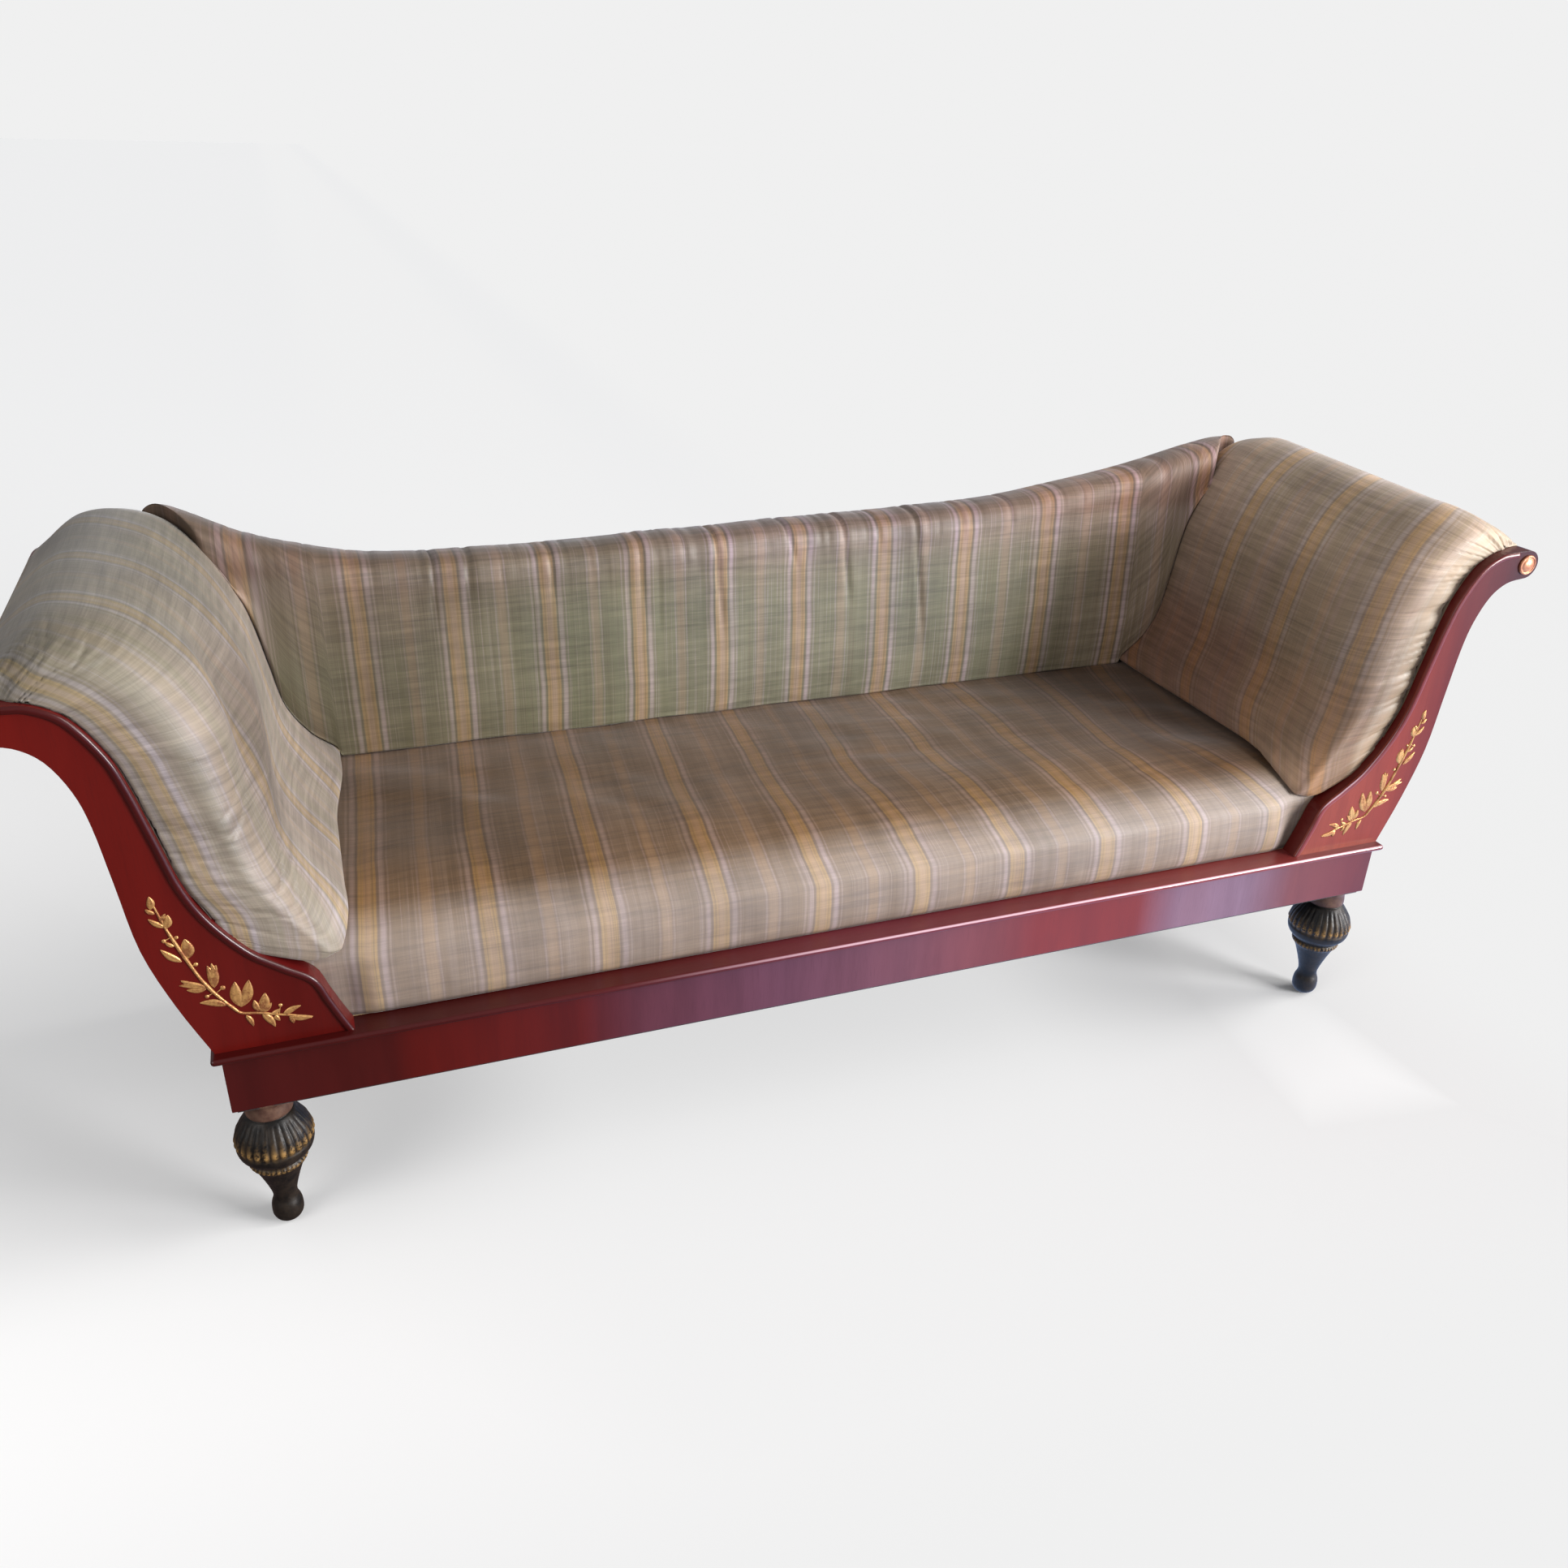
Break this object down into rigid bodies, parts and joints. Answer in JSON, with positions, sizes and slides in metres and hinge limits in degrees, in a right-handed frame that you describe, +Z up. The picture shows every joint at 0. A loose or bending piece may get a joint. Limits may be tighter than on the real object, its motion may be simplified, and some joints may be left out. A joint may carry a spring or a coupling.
{
  "type": "recamier",
  "caption": "Long upholstered couch with outward-scrolled ends, a low waved back, striped silk pads, dark red wooden frame, gilt branch inlay and turned feet.",
  "frame": {"origin": "on the floor under the middle of the couch, at the bottom centre of its bounding box", "axes": "+X along the couch towards the right-hand scroll as seen from the front, +Y towards the back, +Z up"},
  "size_m": [2.06, 0.6054, 0.8253],
  "materials": {
    "mahogany": "polished deep red-brown",
    "beech": "unfinished",
    "ebonised_wood": "near-black with worn gilding",
    "gilding": "worn gilt",
    "striped_silk": "worn striped silk with a soft sheen",
    "cover_cloth": "plain olive-brown silk",
    "jute": "coarse woven",
    "black_cloth": "matte",
    "spring_steel": "dull"
  },
  "bodies": {
    "root": {"front_rail": "mahogany", "back_rail": "mahogany", "end_rail_left": "mahogany", "end_rail_right": "mahogany", "nosing_front": "mahogany", "nosing_left": "mahogany", "nosing_right": "mahogany", "nosing_back": "mahogany", "seat_stretchers": "beech", "corner_blocks": "beech", "foot_front_left": "ebonised_wood", "foot_front_right": "ebonised_wood", "foot_back_left": "ebonised_wood", "foot_back_right": "ebonised_wood", "post_front_left": "mahogany", "post_front_right": "mahogany", "post_back_left": "mahogany", "post_back_right": "mahogany", "bead_left": "mahogany", "bead_right": "mahogany", "boss_left": "gilding", "boss_right": "gilding", "inlay_left": "gilding", "inlay_right": "gilding", "arm_low_rail_left": "beech", "arm_low_rail_right": "beech", "arm_mid_rail_left": "beech", "arm_mid_rail_right": "beech", "arm_top_rail_left": "beech", "arm_top_rail_right": "beech", "arm_webbing_left": "jute", "arm_webbing_right": "jute", "arm_canvas_left": "jute", "arm_canvas_right": "jute", "arm_cover_left": "cover_cloth", "arm_cover_right": "cover_cloth", "arm_pad_left": "striped_silk", "arm_pad_right": "striped_silk", "crest_rail": "beech", "back_low_rail": "beech", "back_stiles": "beech", "back_webbing": "jute", "back_canvas": "jute", "back_pad": "striped_silk", "back_cover": "cover_cloth", "seat_webbing": "jute", "seat_springs": "spring_steel", "spring_canvas": "jute", "seat_pad": "striped_silk", "dust_cover": "black_cloth"}
  },
  "joints": []
}
